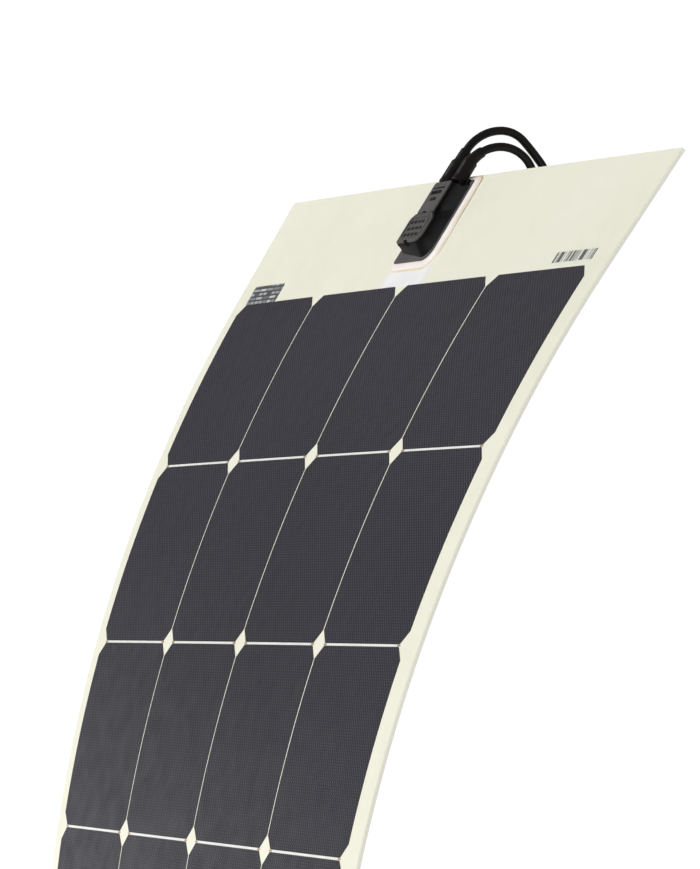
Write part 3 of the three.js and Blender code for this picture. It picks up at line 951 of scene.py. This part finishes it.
def lids():
    """The terminal lid on the neck, the diode lid on the head and the plain marks on both."""
    low_y = HEAD_TOP + 0.6
    neck = rounded([
        (NECK_RIGHT - 0.6, NECK_TOP - 0.4, 1.2), (NECK_LEFT + 0.6, NECK_TOP - 0.4, 2.2),
        (NECK_LEFT + 0.6, low_y, 0.5), (BODY_X - 3.8, low_y, 0.3), (BODY_X - 3.4, low_y + 1.3, 0.3),
        (BODY_X + 0.4, low_y + 1.3, 0.3), (BODY_X + 0.8, low_y, 0.3), (NECK_RIGHT - 0.6, low_y, 0.5),
    ], 4)
    low, high = LID_FRONT - 0.35, LID_FRONT + 0.25
    marks = [block(BODY_X + x, 16.6, BODY_X + x + 1.6, 19.2, low, high, 0.1)
             for x in (-7.5, -4.5, -1.5, 1.5, 4.5)]
    marks += [block(BODY_X - 8.0, 21.0, BODY_X + 8.0, 21.8, low, LID_FRONT + 0.2, 0.1),
              block(BODY_X - 3.0, 11.4, BODY_X + 3.6, 13.6, low, high, 0.1)]
    box_piece("terminal_lid", [slab_of(neck, LID_BACK, LID_FRONT - 0.25, 0.3)], MATT_BLACK,
              "terminal_cover", slot="lid_plastic")

    head = rounded([
        (NECK_RIGHT - 0.4, 1.6, 1.0), (NECK_LEFT + 0.4, 1.6, 1.0), (HEAD_LEFT + 0.6, -2.4, 3.0),
        (HEAD_LEFT + 0.6, HEAD_BOTTOM + 0.6, 1.8), (BODY_X - 5.0, HEAD_BOTTOM + 0.6, 0.3),
        (BODY_X - 4.6, HEAD_BOTTOM + 1.8, 0.3), (BODY_X - 0.4, HEAD_BOTTOM + 1.8, 0.3),
        (BODY_X, HEAD_BOTTOM + 0.6, 0.3), (HEAD_RIGHT - 0.6, HEAD_BOTTOM + 0.6, 7.4),
        (HEAD_RIGHT - 0.6, -2.4, 3.0),
    ], 5)
    rim = rounded([
        (NECK_RIGHT - 0.2, -1.2, 2.0), (NECK_LEFT + 0.2, -1.2, 2.0), (HEAD_LEFT + 3.0, -5.0, 3.0),
        (HEAD_LEFT + 3.0, HEAD_BOTTOM + 3.6, 2.5), (HEAD_RIGHT - 3.0, HEAD_BOTTOM + 3.6, 6.0),
        (HEAD_RIGHT - 3.0, -5.0, 3.0),
    ], 5)
    low, high = LID_FRONT - 0.3, LID_FRONT + 0.55
    frame_rings = [at_height(rim, low), at_height(rim, high - 0.12),
                   at_height(inset(rim, 0.15), high), at_height(inset(rim, 0.85), high),
                   at_height(inset(rim, 1.0), high - 0.12), at_height(inset(rim, 1.0), low)]
    for row, y in enumerate((-4.6, -9.8, -14.6)):
        for k in range(4):
            x = BODY_X - 10.6 + 5.4 * k + (1.2 if row % 2 else 0)
            marks.append(block(x, y - 2.2, x + 3.2, y, LID_FRONT - 0.3, LID_FRONT + 0.3, 0.14))
    box_piece("diode_lid", [slab_of(head, LID_BACK, LID_FRONT, 0.4), band(frame_rings)],
              MATT_BLACK, "diode_cover", slot="lid_plastic")
    box_piece("lid_marks", marks, RUBBER, slot="lid_plastic")


def sealant():
    """The bead squeezed out round the flange, with a yellowish painted shadow line along its outer
    edge.
    """
    x, y = FLANGE_X - 0.8, FLANGE_Y - 0.6
    inner = rounded([(x, y, 2.5), (-x, y, 3), (-x, -y, 2), (x + 1.6, -y, 9)], 9)
    outer = rounded([(27.0, 35.6, 4), (-26.0, 35.6, 3), (-26.0, -36.6, 3), (31.0, -36.6, 13)], 9)
    rings = []
    for share, z in ((0, 0.02), (0, 1.9), (0.2, 2.1), (0.5, 1.7), (0.78, 1.1), (0.96, 0.5),
                     (1.0, 0.02)):
        rings.append(at_height([a.lerp(b, share) for a, b in zip(inner, outer)], z))
    box_piece("sealant_bead", [band(rings)], SEALANT, "box_sealant", slot="sealant", sharp=50)
    # A thin yellowish band round the bead's outer edge: the bead's shadow, painted as its own piece.
    rings = [at_height(inset(outer, depth), z)
             for depth, z in ((0.7, 0.02), (0.7, 0.75), (-0.2, 0.55), (-1.1, 0.02))]
    box_piece("sealant_shadow_line", [band(rings)], PAINTED_SEALANT_SHADOW, slot="sealant", sharp=50)


box_body()
lids()
sealant()

# ---------------------------------------------------------------- labels and tape


FILM_BACK = 0.01 * MM
FILM_EDGE = 0.05 * MM
FILM_ROWS, FILM_COLUMNS = 4, 8


def film_piece(name, u, v, thick, material, stands_for):
    """A thin film stuck on the header, between two places across it and two down it."""
    rows = [v[0] + (v[1] - v[0]) * i / FILM_ROWS for i in range(FILM_ROWS + 1)]
    piece = sheet_grid(name, rows, lambda _: flat_profile(
        u[0], u[1], FILM_BACK, thick, FILM_COLUMNS, FILM_EDGE), material)
    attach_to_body(piece, "header")
    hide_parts(stands_for)


film_piece("plain_name_label", (-251 * MM, -202 * MM), (-15.5 * MM, -0.8 * MM), 0.2 * MM,
           DARK_LABEL, "name_label")
film_piece("plain_bar_label", (197 * MM, 247 * MM), (-14 * MM, -2.5 * MM), 0.2 * MM,
           BAR_LABEL, "bar_label")
film_piece("header_tape", (-34 * MM, 24 * MM), (-24 * MM, -0.8 * MM), 0.14 * MM, TAPE,
           "bus_cover_tape")

for node, material in (("bus_ribbon", TIN), ("bypass_diode", EPOXY)):
    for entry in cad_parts[node].material_slots:
        entry.material = material

# ---------------------------------------------------------------- floor and light

FLOOR_RADIUS = 60
FLOOR_SIDES = 96
FLOOR_DROP = 0.05                 # below the lowest part of the sheet
FLOOR_GLOW = 0.62
WORLD_LEFT, WORLD_RIGHT = 0.3, 0.85
WORLD_SEEN = 1.05


def floor():
    """A wide pale disc that glows enough to look white."""
    level = cad_low.z - FLOOR_DROP
    ring = []
    for k in range(FLOOR_SIDES):
        turn = math.tau * k / FLOOR_SIDES
        ring.append((FLOOR_RADIUS * math.cos(turn), FLOOR_RADIUS * math.sin(turn), level))
    data = bpy.data.meshes.new("studio_floor")
    data.from_pydata(ring, [], [tuple(range(FLOOR_SIDES))])
    s = Shader("studio_floor", (0.94, 0.94, 0.94), 0.9, Specular_IOR_Level=0.1,
               Emission_Color=(1, 1, 1, 1), Emission_Strength=FLOOR_GLOW)
    data.materials.append(s.material)
    piece = bpy.data.objects.new("studio_floor", data)
    bpy.context.scene.collection.objects.link(piece)


def area_light(name, place, target, size, power):
    data = bpy.data.lights.new(name, "AREA")
    data.shape = "DISK"
    data.size = size
    data.energy = power
    lamp = bpy.data.objects.new(name, data)
    bpy.context.scene.collection.objects.link(lamp)
    lamp.location = place
    lamp.rotation_euler = (Vector(target) - Vector(place)).to_track_quat("-Z", "Y").to_euler()


def studio_world():
    """White behind the object, but its light is dim from -X and brighter from +X."""
    world = bpy.data.worlds.new("studio")
    bpy.context.scene.world = world
    world.use_nodes = True
    tree = world.node_tree
    tree.nodes.clear()
    direction = tree.nodes.new("ShaderNodeTexCoord")
    split = tree.nodes.new("ShaderNodeSeparateXYZ")
    tree.links.new(direction.outputs["Generated"], split.inputs[0])
    ramp = tree.nodes.new("ShaderNodeMapRange")
    ramp.inputs["From Min"].default_value = -1
    ramp.inputs["From Max"].default_value = 1
    ramp.inputs["To Min"].default_value = WORLD_LEFT
    ramp.inputs["To Max"].default_value = WORLD_RIGHT
    tree.links.new(split.outputs["X"], ramp.inputs["Value"])
    lit = tree.nodes.new("ShaderNodeBackground")
    tree.links.new(ramp.outputs[0], lit.inputs["Strength"])
    seen = tree.nodes.new("ShaderNodeBackground")
    seen.inputs["Color"].default_value = (1, 1, 1, 1)
    seen.inputs["Strength"].default_value = WORLD_SEEN
    path = tree.nodes.new("ShaderNodeLightPath")
    mix = tree.nodes.new("ShaderNodeMixShader")
    tree.links.new(path.outputs["Is Camera Ray"], mix.inputs[0])
    tree.links.new(lit.outputs[0], mix.inputs[1])
    tree.links.new(seen.outputs[0], mix.inputs[2])
    end = tree.nodes.new("ShaderNodeOutputWorld")
    tree.links.new(mix.outputs[0], end.inputs["Surface"])


floor()
studio_world()
area_light("key", (-1.6, -2.6, 2.4), (0, -0.1, -0.3), 1.8, 60)
area_light("fill", (1.2, -3.2, 0.6), (0, -0.1, -0.4), 2.0, 18)
bpy.context.scene.view_settings.view_transform = "Standard"
